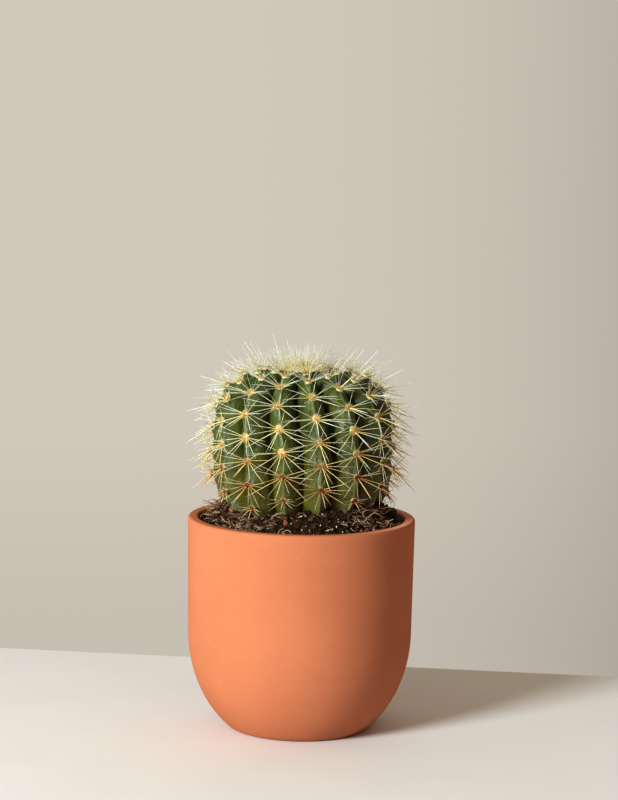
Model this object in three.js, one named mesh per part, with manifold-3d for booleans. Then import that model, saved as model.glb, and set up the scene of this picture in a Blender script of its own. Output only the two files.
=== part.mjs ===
// A round, ribbed barrel cactus growing in a plain terracotta pot.
// Units are millimetres and +Z is up. The origin is the middle of the pot's foot, on the table.
// Angles round the plant start at -Y, its front, and grow towards +X.

import * as THREE from "three";
import { mergeVertices } from "three/addons/utils/BufferGeometryUtils.js";
import Module from "manifold-3d";

const wasm = await Module();
wasm.setup();

// Pot: a straight wall above an elliptical bowl that is cut off by a flat foot.
const POT_RADIUS = 63.5;
const POT_HEIGHT = 119;
const POT_WALL = 6;
const POT_TAPER = 0.8;
const POT_EDGE_ROUND = 1.2;
const POT_FLOOR = 7;
const BOWL_TOP = 54.4;
const BOWL_HALF_WIDTH = 52.8;
const BOWL_HALF_HEIGHT = 65.2;
const FOOT_CHAMFER = 0.9;
const FOOT_RADIUS = 38.2;
const DRAIN_RADIUS = 6;
const POT_SEGMENTS = 60;
const BOWL_STEPS = 6;

// Cactus: a squat barrel whose crests follow a rounded, flat-topped outline.
const RIBS = 15;
const FIRST_RIB_DEGREES = -11.8;
const RIB_TWIST = -0.165;
const CREST_RADIUS = 49;
const CREST_HALF_HEIGHT = 45;
const BARREL_MIDDLE = POT_HEIGHT + 37.2;
const ROUNDNESS_ABOVE = 3.4;
const ROUNDNESS_BELOW = 3.0;
const OUTLINE_START_DEGREES = -70;
const OUTLINE_END_DEGREES = 86;
const OUTLINE_SAMPLES = 400;
const BODY_ROWS = 18;
const COLUMNS_PER_RIB = 4;
const RIB_DEPTH = 9;
const RIB_FADE_START = 10;
const RIB_FADE_END = 34;
const RIB_ROUND = 2.1;
const RIB_NARROW = 0.8;
const RIB_NARROW_BELOW = POT_HEIGHT + 3;
const RIB_ROUND_ABOVE = POT_HEIGHT + 30;
const ROOT_RADIUS = 11;
const ROOT_TIP_RADIUS = 6;
const ROOT_LENGTH = 26;
const ROOT_NECK = 2;

// Areoles sit on the crests in a spiral: each next one is 13 ribs further round.
const SPIRAL_STEP = 13;
const AREOLE_START = -20.7;
const AREOLE_SPACING = 13.4;
const AREOLE_CROWDING = 0.19;
const AREOLE_RADIUS = 1.9;
const AREOLE_RISE = 0.6;
const AREOLE_ROOT = 2.2;
const AREOLE_LOWEST = -12;
const AREOLE_HIGHEST = 100;
const AREOLE_ABOVE_SOIL = 3.5;
const STRAIGHT_UP_TO_DEGREES = 20;
const CENTRAL_UP_TO_DEGREES = 55;
const SPREAD_DEGREES = 6;
const YOUNG_FROM_TURN = 3.5;
const YOUNG_TO_TURN = 6.2;
const YOUNG_LIFT_DEGREES = 16;
const YOUNG_SHORTER = 0.4;
const SCATTER_DEGREES = 5;
const SCATTER_LENGTH = 0.12;
const STRAIGHT_SPINE = 16;
const CENTRAL_SPINE = 17;
const DOWN_SPINE = 23;
const RADIAL_SPINE = 14.5;
const UPPER_RADIAL_SPINE = 11.5;
const SPINE_REACH = 67.3;
const SPINE_TOP = 223.5;
const SPINE_CLEARANCE = 1;
const CLEARANCE_SHARES = [0.35, 0.7, 1];

// Crown: a low cushion of wool on the flat top, with young upright spines.
const CROWN_RADIUS = 14;
const CROWN_HEIGHT = 3.2;
const CROWN_DETAIL = 3;
const CROWN_SPINE = 16;
const CROWN_SPINE_REACH = 16.5;
const CROWN_KEEP_OUT = 18;
const CROWN_SPINE_EVERY = 3;
const CROWN_EDGE = 1;
const CROWN_LEAN_LEAST = 0.9;
const CROWN_SPINE_SHORTEST = 0.65;
const CROWN_SPINE_LONGEST = 1.1;

// Soil: it mounds up against the stem, higher at the front right, and drops to the wall. Clods of
// negative height are hollows.
const SOIL_AT_WALL = -2.5;
const SOIL_AT_STEM = 6.3;
const SOIL_LEAN = 2.5;
const SOIL_LEAN_DEGREES = 60;
const SOIL_RELIEF = 0.6;
const SOIL_TOP_STEPS = 3;
const MOUND_INNER = 43;
const HOLE_TOP_ROW = 3;
const GAP = 0.4;
const CLODS = [
  { x: -48, y: -5, height: 5.5, radius: 4 },
  { x: 50, y: 14, height: -3, radius: 9 },
  { x: 47, y: -27, height: 1, radius: 3.5 },
  { x: -27, y: -40, height: -3, radius: 12 },
];

const COLUMNS = RIBS * COLUMNS_PER_RIB;

const terracotta = new THREE.MeshStandardMaterial({ color: 0xd97a52, roughness: 0.75, metalness: 0 });
const pottingMix = new THREE.MeshStandardMaterial({ color: 0x2b1d16, roughness: 0.95, metalness: 0 });
const cactusSkin = new THREE.MeshStandardMaterial({ color: 0x3f6b45, roughness: 0.5, metalness: 0 });
const wool = new THREE.MeshStandardMaterial({ color: 0xe9dc9a, roughness: 0.95, metalness: 0 });

const radians = THREE.MathUtils.degToRad;
const smoothstep = THREE.MathUtils.smoothstep;
const lerp = THREE.MathUtils.lerp;

// A repeatable value from 0 to 1 for the areole n and the draw k.
function scatter(n, k) {
  const wave = Math.sin(n * 12.9898 + k * 78.233) * 43758.5453;
  return wave - Math.floor(wave);
}

function around(radius, angle, z) {
  return new THREE.Vector3(radius * Math.sin(angle), -radius * Math.cos(angle), z);
}

// Ribs run straight up to the barrel's middle, and above it they lean by the twist, in degrees for
// each millimetre along the outline.
function columnAngle(column, along) {
  const lean = RIB_TWIST * Math.max(0, along - equator);
  return radians(FIRST_RIB_DEGREES + lean) + (column / COLUMNS) * 2 * Math.PI;
}

// A closed skin through rings with equal counts, shut by one point at each end. Its slanting edges
// rise towards the next column, whichever way the rings run, so that a hole fits what stands in it.
function ringSolid(first, rings, last) {
  const count = rings[0].length;
  const points = [first, ...rings.flat(), last];
  const at = (row, column) => 1 + row * count + (column % count);
  const faces = [];
  for (let c = 0; c < count; c += 1) {
    faces.push(0, at(0, c + 1), at(0, c));
    faces.push(points.length - 1, at(rings.length - 1, c), at(rings.length - 1, c + 1));
    for (let r = 0; r < rings.length - 1; r += 1) {
      if (rings[r + 1][c].z > rings[r][c].z) {
        faces.push(at(r, c), at(r, c + 1), at(r + 1, c + 1));
        faces.push(at(r, c), at(r + 1, c + 1), at(r + 1, c));
      } else {
        faces.push(at(r, c), at(r, c + 1), at(r + 1, c));
        faces.push(at(r, c + 1), at(r + 1, c + 1), at(r + 1, c));
      }
    }
  }
  const geometry = new THREE.BufferGeometry().setFromPoints(points);
  geometry.setIndex(faces);
  return geometry;
}

function merged(geometry) {
  const bare = geometry.clone();
  bare.deleteAttribute("normal");
  bare.deleteAttribute("uv");
  return mergeVertices(bare, 1e-4);
}

function solidOf(geometry) {
  const closed = merged(geometry);
  return new wasm.Manifold(new wasm.Mesh({
    numProp: 3,
    vertProperties: new Float32Array(closed.attributes.position.array),
    triVerts: new Uint32Array(closed.index.array),
  }));
}

function geometryOf(solid) {
  const mesh = solid.getMesh();
  const geometry = new THREE.BufferGeometry();
  geometry.setAttribute("position", new THREE.BufferAttribute(mesh.vertProperties, 3));
  geometry.setIndex(new THREE.BufferAttribute(mesh.triVerts, 1));
  return geometry;
}

// Points of the bowl's ellipse, pulled in by the wall and floor where it is the inside.
function bowlPoints(lowest, inset, floor) {
  const centre = POT_RADIUS - POT_TAPER - BOWL_HALF_WIDTH;
  const halfWidth = BOWL_HALF_WIDTH - inset;
  const halfHeight = BOWL_HALF_HEIGHT - floor;
  const steepest = Math.asin((BOWL_TOP - lowest) / halfHeight);
  const points = [];
  for (let i = 0; i <= BOWL_STEPS; i += 1) {
    const angle = steepest * (1 - i / BOWL_STEPS);
    points.push(new THREE.Vector2(
      centre + halfWidth * Math.cos(angle),
      BOWL_TOP - halfHeight * Math.sin(angle),
    ));
  }
  return points;
}

const innerBowl = bowlPoints(POT_FLOOR, POT_WALL, POT_FLOOR);

function rimCorner(radius, start) {
  const centreZ = POT_HEIGHT - POT_EDGE_ROUND;
  return [0, 45, 90].map((step) => {
    const angle = radians(start + step);
    return new THREE.Vector2(
      radius + POT_EDGE_ROUND * Math.cos(angle),
      centreZ + POT_EDGE_ROUND * Math.sin(angle),
    );
  });
}

function makePot() {
  const profile = [
    new THREE.Vector2(DRAIN_RADIUS, 0),
    new THREE.Vector2(FOOT_RADIUS, 0),
    ...bowlPoints(FOOT_CHAMFER, 0, 0),
    ...rimCorner(POT_RADIUS - POT_EDGE_ROUND, 0),
    ...rimCorner(POT_RADIUS - POT_WALL + POT_EDGE_ROUND, 90),
    ...[...innerBowl].reverse(),
    new THREE.Vector2(DRAIN_RADIUS, POT_FLOOR),
    new THREE.Vector2(DRAIN_RADIUS, 0),
  ];
  const geometry = new THREE.LatheGeometry(profile, POT_SEGMENTS);
  geometry.rotateX(Math.PI / 2);
  return merged(geometry);
}

// The crests' outline from under the soil up to the crown: radius, height and distance along it.
function crestOutline(grow) {
  const outline = [];
  let along = 0;
  for (let i = 0; i <= OUTLINE_SAMPLES; i += 1) {
    const share = i / OUTLINE_SAMPLES;
    const angle = radians(OUTLINE_START_DEGREES + share * (OUTLINE_END_DEGREES - OUTLINE_START_DEGREES));
    const power = 2 / (angle < 0 ? ROUNDNESS_BELOW : ROUNDNESS_ABOVE);
    const rise = Math.sign(angle) * Math.abs(Math.sin(angle)) ** power;
    const radius = (CREST_RADIUS + grow) * Math.cos(angle) ** power;
    const z = BARREL_MIDDLE + (CREST_HALF_HEIGHT + grow) * rise;
    if (i > 0) {
      along += Math.hypot(radius - outline[i - 1].radius, z - outline[i - 1].z);
    }
    outline.push({ radius, z, along });
  }
  return outline;
}

const crest = crestOutline(0);
const crestLength = crest[crest.length - 1].along;
const equator = crest.find((point) => point.z >= BARREL_MIDDLE).along;

function sampleAt(along) {
  return Math.max(1, crest.findIndex((point) => point.along >= along - 1e-9));
}

// A sample of an outline, with the direction there that faces out of the skin.
function facing(outline, sample) {
  const { radius, z } = outline[sample];
  const before = outline[sample - 1];
  const length = Math.hypot(radius - before.radius, z - before.z);
  return { radius, z, outRadius: (z - before.z) / length, outZ: (before.radius - radius) / length };
}

// One ring of the ribbed skin. Grooves sink straight inwards below the barrel's middle, and along the
// skin's own outward direction above it. A grown skin's grooves are that much shallower too.
function skinRing(outline, row, grow) {
  const along = (crestLength * row) / BODY_ROWS;
  const sample = sampleAt(along);
  const at = facing(outline, sample);
  const depth = RIB_DEPTH * smoothstep(crest[sample].radius, RIB_FADE_START, RIB_FADE_END);
  const roundness = smoothstep(crest[sample].z, RIB_NARROW_BELOW, RIB_ROUND_ABOVE);
  const power = RIB_NARROW + (RIB_ROUND - RIB_NARROW) * roundness;
  const ring = [];
  for (let c = 0; c < COLUMNS; c += 1) {
    const step = c % COLUMNS_PER_RIB;
    const offCrest = Math.min(step, COLUMNS_PER_RIB - step) / (COLUMNS_PER_RIB / 2);
    const sink = Math.max(0, depth * offCrest ** power - grow);
    const inwards = at.z < BARREL_MIDDLE ? sink : sink * at.outRadius;
    const down = at.z < BARREL_MIDDLE ? 0 : sink * at.outZ;
    ring.push(around(at.radius - inwards, columnAngle(c, along), at.z - down));
  }
  return ring;
}

function rootRing(radius, z) {
  return Array.from({ length: COLUMNS }, (_, c) => around(radius, columnAngle(c, 0), z));
}

function rootRings(grow) {
  const top = crest[0].z - ROOT_NECK;
  return [
    rootRing(ROOT_TIP_RADIUS + grow, top - ROOT_LENGTH - grow),
    rootRing(ROOT_RADIUS + grow, top - ROOT_LENGTH / 2),
    rootRing(ROOT_RADIUS + grow, top - grow),
  ];
}

// The root's tip, a little below its last ring.
function rootTip(grow) {
  return new THREE.Vector3(0, 0, crest[0].z - 2 * ROOT_NECK - ROOT_LENGTH - grow);
}

function makeBody() {
  const rings = rootRings(0);
  for (let row = 0; row <= BODY_ROWS; row += 1) {
    rings.push(skinRing(crest, row, 0));
  }
  const top = new THREE.Vector3(0, 0, BARREL_MIDDLE + CREST_HALF_HEIGHT);
  return ringSolid(rootTip(0), rings, top);
}

function clodHeight(x, y) {
  return CLODS.reduce((sum, clod) => {
    const distance = Math.hypot(x - clod.x, y - clod.y) / clod.radius;
    return sum + clod.height * Math.exp(-distance * distance);
  }, 0);
}

function soilHeight(x, y) {
  const radius = Math.hypot(x, y);
  const angle = Math.atan2(x, -y);
  const atStem = SOIL_AT_STEM + SOIL_LEAN * Math.cos(angle - radians(SOIL_LEAN_DEGREES));
  const drop = smoothstep(radius, MOUND_INNER, POT_RADIUS - POT_WALL);
  const relief = SOIL_RELIEF * Math.sin(x * 0.61 + 1.3) * Math.sin(y * 0.53 - 0.4);
  return POT_HEIGHT + atStem + (SOIL_AT_WALL - atStem) * drop + relief + clodHeight(x, y);
}

// The hole's edge: where the grown skin between two rows reaches the height of the soil.
function holeEdge(below, above) {
  return below.map((low, c) => {
    const high = above[c];
    const share = (soilHeight(low.x, low.y) - low.z) / (high.z - low.z);
    return low.clone().lerp(high, THREE.MathUtils.clamp(share, 0.05, 0.95));
  });
}

function makeSoil() {
  const wallRadius = POT_RADIUS - POT_WALL - GAP;
  const hole = crestOutline(GAP);
  const holeRings = Array.from({ length: HOLE_TOP_ROW + 2 }, (_, row) => skinRing(hole, row, GAP));
  const edge = holeEdge(holeRings[HOLE_TOP_ROW], holeRings[HOLE_TOP_ROW + 1]);
  const rings = innerBowl.map((point, i) => {
    const z = point.y + (i === 0 ? GAP : 0);
    return edge.map((rim) => around(point.x - GAP, Math.atan2(rim.x, -rim.y), z));
  });
  for (let step = 0; step < SOIL_TOP_STEPS; step += 1) {
    rings.push(edge.map((rim) => {
      const radius = lerp(wallRadius, Math.hypot(rim.x, rim.y), step / SOIL_TOP_STEPS);
      const point = around(radius, Math.atan2(rim.x, -rim.y), 0);
      point.z = soilHeight(point.x, point.y);
      return point;
    }));
  }
  rings.push(edge);
  rings.push(...holeRings.slice(0, HOLE_TOP_ROW + 1).reverse());
  rings.push(...rootRings(GAP).reverse());
  return ringSolid(new THREE.Vector3(0, 0, POT_FLOOR + GAP), rings, rootTip(GAP));
}

// The outer ten of a small ball's twenty faces, turned so that one looks along +Z and its neighbour
// towards -Y. Each face lists its outermost corner first.
function areoleFaces() {
  const ball = new THREE.IcosahedronGeometry(AREOLE_RADIUS, 0);
  const position = ball.attributes.position;
  const faces = [];
  for (let i = 0; i < position.count; i += 3) {
    faces.push([0, 1, 2].map((k) => new THREE.Vector3().fromBufferAttribute(position, i + k)));
  }
  const outward = new THREE.Vector3(0, 0, 1);
  const middle = (face) => face[0].clone().add(face[1]).add(face[2]).divideScalar(3);
  const turn = new THREE.Quaternion().setFromUnitVectors(middle(faces[0]).normalize(), outward);
  faces.flat().forEach((corner) => corner.applyQuaternion(turn));
  const neighbour = faces.find((face) => Math.abs(middle(face).angleTo(outward) - radians(41.8)) < 0.05);
  const heading = Math.atan2(middle(neighbour).y, middle(neighbour).x);
  const spin = new THREE.Quaternion().setFromAxisAngle(outward, -Math.PI / 2 - heading);
  faces.flat().forEach((corner) => corner.applyQuaternion(spin));
  return faces
    .filter((face) => middle(face).z > 0)
    .map((face) => {
      const first = face.indexOf(face.reduce((top, corner) => (corner.z > top.z ? corner : top)));
      return { corners: [0, 1, 2].map((k) => face[(first + k) % 3]), middle: middle(face) };
    });
}

const outerFaces = areoleFaces();

function frameAt(n) {
  const rib = (SPIRAL_STEP * (((n % RIBS) + RIBS) % RIBS)) % RIBS;
  const turn = n / RIBS;
  const along = equator + AREOLE_START + AREOLE_SPACING * turn - AREOLE_CROWDING * turn * turn;
  const at = facing(crest, sampleAt(along));
  const angle = columnAngle(rib * COLUMNS_PER_RIB, along);
  const out = around(at.outRadius, angle, at.outZ);
  const side = new THREE.Vector3(Math.cos(angle), Math.sin(angle), 0);
  const up = new THREE.Vector3().crossVectors(out, side);
  return {
    centre: around(at.radius + AREOLE_RISE * at.outRadius, angle, at.z + AREOLE_RISE * at.outZ),
    matrix: new THREE.Matrix4().makeBasis(side, up, out),
  };
}

// How young an areole is, from 0 on the sides to 1 at the crown.
function youth(n) {
  return smoothstep(n / RIBS, YOUNG_FROM_TURN, YOUNG_TO_TURN);
}

function tiltOf(direction) {
  return direction.angleTo(new THREE.Vector3(0, 0, 1));
}

// Length of the spine that grows from a face of the areole, by where the face looks.
function spineLength(direction, n) {
  const tilt = tiltOf(direction);
  if (tilt < radians(STRAIGHT_UP_TO_DEGREES)) {
    return STRAIGHT_SPINE;
  }
  const shorter = 1 - YOUNG_SHORTER * youth(n);
  if (tilt < radians(CENTRAL_UP_TO_DEGREES)) {
    return shorter * (direction.y < -0.5 ? DOWN_SPINE : CENTRAL_SPINE);
  }
  return shorter * (direction.y > 0.7 ? UPPER_RADIAL_SPINE : RADIAL_SPINE);
}

// The direction of a spine: radial spines lie a little flatter on the sides of the plant and stand
// up more at its crown, and each one strays a little.
function spineDirection(direction, n, k) {
  const tilt = tiltOf(direction);
  const heading = Math.atan2(direction.y, direction.x);
  const outer = tilt > radians(CENTRAL_UP_TO_DEGREES) ? radians(SPREAD_DEGREES) : 0;
  const flatter = outer - radians(YOUNG_LIFT_DEGREES) * youth(n) * Math.sin(tilt);
  const strayed = tilt + flatter + radians(SCATTER_DEGREES) * (scatter(n, k) - 0.5);
  const turned = heading + 2 * radians(SCATTER_DEGREES) * (scatter(n, k + 40) - 0.5);
  return new THREE.Vector3(
    Math.sin(strayed) * Math.cos(turned),
    Math.sin(strayed) * Math.sin(turned),
    Math.cos(strayed),
  );
}

function groundHeight(x, y) {
  const radius = Math.hypot(x, y);
  return radius > POT_RADIUS - POT_WALL - 1 ? POT_HEIGHT : soilHeight(x, y);
}

// Keeps a tip inside the plant's reach, clear of the crown and clear of the soil and rim.
function clearTip(root, tip) {
  const reach = Math.hypot(tip.x, tip.y);
  const allowed = THREE.MathUtils.clamp(reach, CROWN_KEEP_OUT, SPINE_REACH);
  tip.x *= allowed / reach;
  tip.y *= allowed / reach;
  tip.z = Math.min(tip.z, SPINE_TOP);
  for (const share of CLEARANCE_SHARES) {
    const at = root.clone().lerp(tip, share);
    const short = groundHeight(at.x, at.y) + SPINE_CLEARANCE - at.z;
    if (short > 0) {
      tip.z += short / share;
    }
  }
  return tip;
}

// One areole: its outer faces are drawn up into spines, and its rim runs to a point in the flesh.
function makeAreole(n) {
  const { centre, matrix } = frameAt(n);
  const place = (local) => local.clone().applyMatrix4(matrix).add(centre);
  const foot = place(new THREE.Vector3(0, 0, -AREOLE_ROOT));
  const points = [];
  outerFaces.forEach(({ corners, middle }, k) => {
    const [a, b, c] = corners.map(place);
    const direction = middle.clone().normalize();
    const length = spineLength(direction, n) * (1 + SCATTER_LENGTH * (2 * scatter(n, k + 80) - 1));
    const drawn = spineDirection(direction, n, k).multiplyScalar(length + AREOLE_RADIUS);
    const tip = clearTip(place(middle), place(drawn));
    points.push(a, b, tip, b, c, tip, c, a, tip);
    if (tiltOf(direction) > radians(CENTRAL_UP_TO_DEGREES)) {
      points.push(c, b, foot);
    }
  });
  return new THREE.BufferGeometry().setFromPoints(points);
}

function clearOfSoil(n) {
  const { centre } = frameAt(n);
  return centre.z > soilHeight(centre.x, centre.y) + AREOLE_ABOVE_SOIL;
}

function makeCactus() {
  let cactus = solidOf(makeBody());
  for (let n = AREOLE_LOWEST; n <= AREOLE_HIGHEST; n += 1) {
    if (clearOfSoil(n)) {
      cactus = cactus.add(solidOf(makeAreole(n)));
    }
  }
  return geometryOf(cactus);
}

// The crown's cushion is a flattened ball with a flat underside and every third face a spine.
function makeCrown() {
  const floor = BARREL_MIDDLE + CREST_HALF_HEIGHT + GAP;
  const ball = new THREE.IcosahedronGeometry(CROWN_RADIUS, CROWN_DETAIL);
  const position = ball.attributes.position;
  const squash = CROWN_HEIGHT / CROWN_RADIUS;
  const points = [];
  for (let i = 0; i < position.count; i += 3) {
    const corners = [0, 1, 2].map((k) => new THREE.Vector3().fromBufferAttribute(position, i + k));
    corners.forEach((corner) => {
      corner.z = floor + Math.max(0, corner.z) * squash;
    });
    const [a, b, c] = corners;
    const middle = a.clone().add(b).add(c).divideScalar(3);
    const face = i / 3;
    const lowest = Math.min(a.z, b.z, c.z);
    if (lowest < floor + CROWN_EDGE || face % CROWN_SPINE_EVERY !== 0) {
      points.push(a, b, c);
      continue;
    }
    const lean = (CROWN_SPINE_REACH / CROWN_RADIUS) * lerp(CROWN_LEAN_LEAST, 1, scatter(face, 1));
    const rise = CROWN_SPINE * lerp(CROWN_SPINE_SHORTEST, CROWN_SPINE_LONGEST, scatter(face, 2));
    const tip = new THREE.Vector3(middle.x * lean, middle.y * lean, Math.min(middle.z + rise, SPINE_TOP));
    points.push(a, b, tip, b, c, tip, c, a, tip);
  }
  return merged(new THREE.BufferGeometry().setFromPoints(points));
}

function addPiece(group, name, geometry, material) {
  const mesh = new THREE.Mesh(geometry, material);
  mesh.name = name;
  group.add(mesh);
}

const group = new THREE.Group();
addPiece(group, "pot", makePot(), terracotta);
addPiece(group, "soil", makeSoil(), pottingMix);
addPiece(group, "cactus", makeCactus(), cactusSkin);
addPiece(group, "crown_wool", makeCrown(), wool);

export default group;
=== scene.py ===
# A round, ribbed barrel cactus in a terracotta pot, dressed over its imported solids. Shapes are
# worked out in millimetres and stored in metres. Angles round the plant start at its front, -Y,
# and grow towards +X.
import math

import bmesh
import bpy
import numpy as np
from mathutils import Euler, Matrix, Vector, noise


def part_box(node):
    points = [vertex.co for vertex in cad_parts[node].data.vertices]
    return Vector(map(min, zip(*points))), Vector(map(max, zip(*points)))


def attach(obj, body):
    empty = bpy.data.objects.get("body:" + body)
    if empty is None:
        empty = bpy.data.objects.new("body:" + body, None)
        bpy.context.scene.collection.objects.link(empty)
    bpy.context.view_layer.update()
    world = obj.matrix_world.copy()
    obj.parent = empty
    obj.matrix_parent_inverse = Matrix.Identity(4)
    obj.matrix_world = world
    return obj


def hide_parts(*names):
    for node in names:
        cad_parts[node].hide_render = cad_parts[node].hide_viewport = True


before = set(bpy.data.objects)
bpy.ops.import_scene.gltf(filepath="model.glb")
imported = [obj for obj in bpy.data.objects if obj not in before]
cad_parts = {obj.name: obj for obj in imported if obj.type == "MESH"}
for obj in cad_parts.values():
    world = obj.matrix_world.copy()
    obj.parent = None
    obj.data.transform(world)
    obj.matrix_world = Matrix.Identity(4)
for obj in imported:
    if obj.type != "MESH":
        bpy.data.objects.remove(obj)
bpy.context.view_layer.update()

MM = 0.001
draw = np.random.default_rng(7)

# Camera: where the photograph was taken from, fitted to the pot's rim and outline. The picture's
# contrast is a little above plain, as the photograph's is.
CAMERA_PLACE = (0.0030, -1.2709, 0.3366)
CAMERA_DOWN_DEGREES = 6.824
CAMERA_ROLL_DEGREES = 1.022
CAMERA_LENS = 103.5
PICTURE_GAMMA = 0.8

camera = bpy.data.objects.new("camera", bpy.data.cameras.new("camera"))
camera.data.lens = CAMERA_LENS
camera.location = CAMERA_PLACE
look = Euler((math.radians(90 - CAMERA_DOWN_DEGREES), 0, 0)).to_matrix()
roll = Euler((0, 0, math.radians(CAMERA_ROLL_DEGREES))).to_matrix()
camera.rotation_euler = (look @ roll).to_euler()
bpy.context.collection.objects.link(camera)
bpy.context.scene.camera = camera
bpy.context.scene.view_settings.view_transform = "Standard"
bpy.context.scene.view_settings.gamma = PICTURE_GAMMA

# Lights: a soft disc low at the left front, and light from all round that is dim and reddish at the
# front, and stronger from above and from the pale wall behind. The camera sees the plain wall
# itself, a little darker to the right and low down.
KEY_FROM_FRONT_DEGREES = -41.2
KEY_ELEVATION_DEGREES = 20
KEY_DISTANCE = 2.4
KEY_DIAMETER = 0.72
KEY_POWER = 90.0
KEY_COLOUR = (0.93, 1.0, 0.95)
KEY_AIM_HEIGHT = 0.1
FILL_ABOVE = (0.44, 0.36, 0.24)
FILL_LEVEL = (0.29, 0.060, 0.040)
FILL_BEHIND = (0.70, 0.64, 0.53)
FILL_RISE = (0.05, 0.65)
FILL_BACK = (0.2, 0.6)
WALL_COLOUR = (0.695, 0.646, 0.570)
WALL_ACROSS = (-0.134, 0.134, 0, 1)
WALL_CURVE = 3.5
WALL_RIGHT = (0, 1, 1.0, 0.805)
WALL_FROM_LOW = (-0.215, -0.13, 0.915, 1.0)


def around(radius, angle, z):
    radius, angle, z = np.broadcast_arrays(radius, angle, z)
    return np.stack([radius * np.sin(angle), -radius * np.cos(angle), z], axis=-1)


def make_key():
    light = bpy.data.lights.new("key", "AREA")
    light.shape = "DISK"
    light.size = KEY_DIAMETER
    light.energy = KEY_POWER
    light.color = KEY_COLOUR
    key = bpy.data.objects.new("key", light)
    turn, rise = math.radians(KEY_FROM_FRONT_DEGREES), math.radians(KEY_ELEVATION_DEGREES)
    height = KEY_DISTANCE * math.sin(rise) + KEY_AIM_HEIGHT
    key.location = around(KEY_DISTANCE * math.cos(rise), turn, height)
    towards = Vector((0, 0, KEY_AIM_HEIGHT)) - key.location
    key.rotation_euler = towards.to_track_quat("-Z", "Y").to_euler()
    bpy.context.collection.objects.link(key)


class Nodes:
    """Short ways to add the nodes of one tree, with the coordinates that they start from."""

    def __init__(self, tree, coordinates):
        self.tree = tree
        self.place = self.node("ShaderNodeTexCoord").outputs[coordinates]

    def feed(self, value, socket):
        """Links a socket to another node's output, or sets it to a number, a vector or a colour."""
        if not isinstance(value, (int, float, tuple)):
            self.tree.links.new(value, socket)
        elif socket.type == "RGBA":
            socket.default_value = (*value, 1)
        else:
            socket.default_value = value

    def node(self, kind, inputs=(), **settings):
        node = self.tree.nodes.new(kind)
        for key, value in settings.items():
            setattr(node, key, value)
        for name, value in dict(inputs).items():
            self.feed(value, node.inputs[name])
        return node

    def axis(self, name):
        return self.node("ShaderNodeSeparateXYZ", {0: self.place}).outputs[name]

    def range(self, value, low, high, to_low=0.0, to_high=1.0):
        inputs = {"Value": value, "From Min": low, "From Max": high, "To Min": to_low, "To Max": to_high}
        return self.node("ShaderNodeMapRange", inputs).outputs["Result"]

    def math(self, operation, first, second):
        return self.node("ShaderNodeMath", {0: first, 1: second}, operation=operation).outputs[0]

    def times(self, first, second):
        return self.math("MULTIPLY", first, second)

    def mix(self, share, first, second):
        inputs = {"Factor": share, "A": first, "B": second}
        return self.node("ShaderNodeMix", inputs, data_type="RGBA").outputs["Result"]


def make_room():
    world = bpy.data.worlds.new("studio")
    bpy.context.scene.world = world
    world.use_nodes = True
    room = Nodes(world.node_tree, "Generated")
    fill = room.mix(room.range(room.axis("Z"), *FILL_RISE), FILL_LEVEL, FILL_ABOVE)
    fill = room.mix(room.range(room.axis("Y"), *FILL_BACK), fill, FILL_BEHIND)
    across = room.math("POWER", room.range(room.axis("X"), *WALL_ACROSS), WALL_CURVE)
    shade = room.times(room.range(across, *WALL_RIGHT), room.range(room.axis("Z"), *WALL_FROM_LOW))
    wall = room.node("ShaderNodeVectorMath", {0: WALL_COLOUR, "Scale": shade}, operation="SCALE")
    seen = room.mix(room.node("ShaderNodeLightPath").outputs["Is Camera Ray"], fill, wall.outputs[0])
    room.feed(seen, room.tree.nodes["Background"].inputs["Color"])


make_key()
make_room()

# Materials: all are procedural, in their pieces' own coordinates, of soft patches and bumps.


def patches_group():
    """Soft patches of a given size in a piece's own coordinates, as a mask from 0 to 1."""
    group = bpy.data.node_groups.new("patches", "ShaderNodeTree")
    given = group.nodes.new("NodeGroupInput").outputs
    mapping = group.nodes.new("ShaderNodeMapping")
    texture = group.nodes.new("ShaderNodeTexNoise")
    cut = group.nodes.new("ShaderNodeMapRange")
    result = group.nodes.new("NodeGroupOutput").inputs
    sockets = (
        ("Place", "Vector", mapping.inputs["Vector"]),
        ("Stretch", "Vector", mapping.inputs["Scale"]),
        ("Scale", "Float", texture.inputs["Scale"]),
        ("Detail", "Float", texture.inputs["Detail"]),
        ("Low", "Float", cut.inputs["From Min"]),
        ("High", "Float", cut.inputs["From Max"]),
    )
    for name, kind, socket in sockets:
        group.interface.new_socket(name=name, in_out="INPUT", socket_type="NodeSocket" + kind)
        group.links.new(given[name], socket)
    group.interface.new_socket(name="Mask", in_out="OUTPUT", socket_type="NodeSocketFloat")
    group.links.new(mapping.outputs[0], texture.inputs["Vector"])
    group.links.new(texture.outputs["Fac"], cut.inputs["Value"])
    group.links.new(cut.outputs["Result"], result["Mask"])
    return group


patches = patches_group()


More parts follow.
